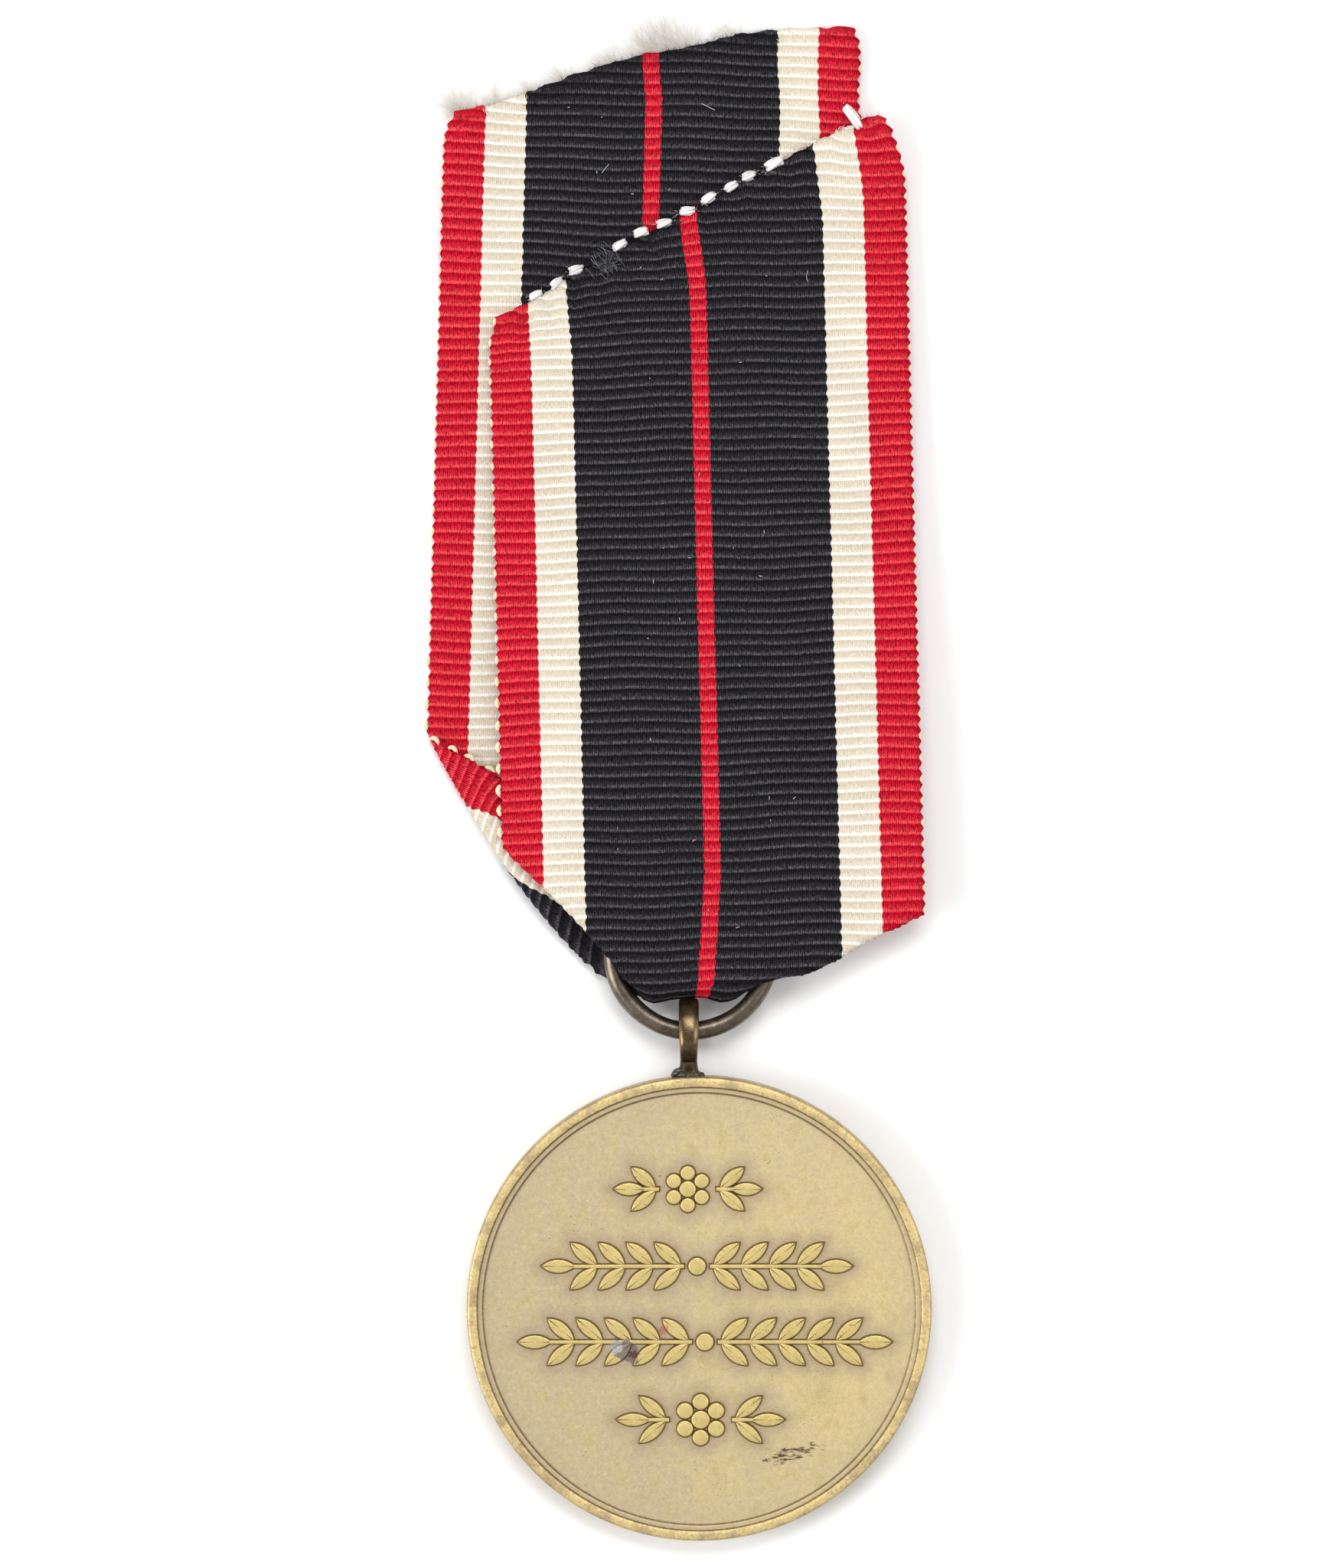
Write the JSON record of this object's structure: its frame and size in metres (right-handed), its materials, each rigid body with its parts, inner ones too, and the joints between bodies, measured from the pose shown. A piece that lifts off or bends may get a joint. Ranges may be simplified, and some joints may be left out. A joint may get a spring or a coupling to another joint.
{
  "type": "service medal",
  "caption": "Round struck medal hung by a soldered eye and a wire jump ring from a folded, striped grosgrain ribbon, lying flat.",
  "frame": {"origin": "middle of the whole outline, on the surface that the medal and ribbon lie on", "axes": "+Y from the medal disc up the ribbon, +Z away from the surface, +X to the right seen from above"},
  "size_m": [0.0352, 0.1059, 0.0041],
  "materials": {
    "medal": "matte struck tombak with rubbed high points",
    "eye": "satin, dark patina with a rubbed top",
    "solder": "dull grey solder",
    "ring": "satin brown bronzed wire",
    "ribbon": "ribbed silk grosgrain in red, white and black stripes",
    "stitches": "matte cotton sewing thread",
    "tufts": "frayed cotton fibre"
  },
  "bodies": {
    "ribbon": {"ribbon": "ribbon", "hem_stitches": "stitches", "thread_tufts": "tufts"},
    "ring": {"jump_ring": "ring"},
    "medal": {"medal_disc": "medal", "suspension_eye": "eye", "eye_solder": "solder"}
  },
  "joints": [
    {"name": "ring_turn", "type": "hinge", "parent": "ribbon", "child": "ring", "pos_m": [0.00076, -0.01176, 0.00175], "axis": [0, 0, 1], "range_deg": [-12, 12]},
    {"name": "medal_flap", "type": "hinge", "parent": "ring", "child": "medal", "pos_m": [0.00061, -0.01729, 0.00175], "axis": [-1, 0, 0], "range_deg": [0, 120]}
  ]
}
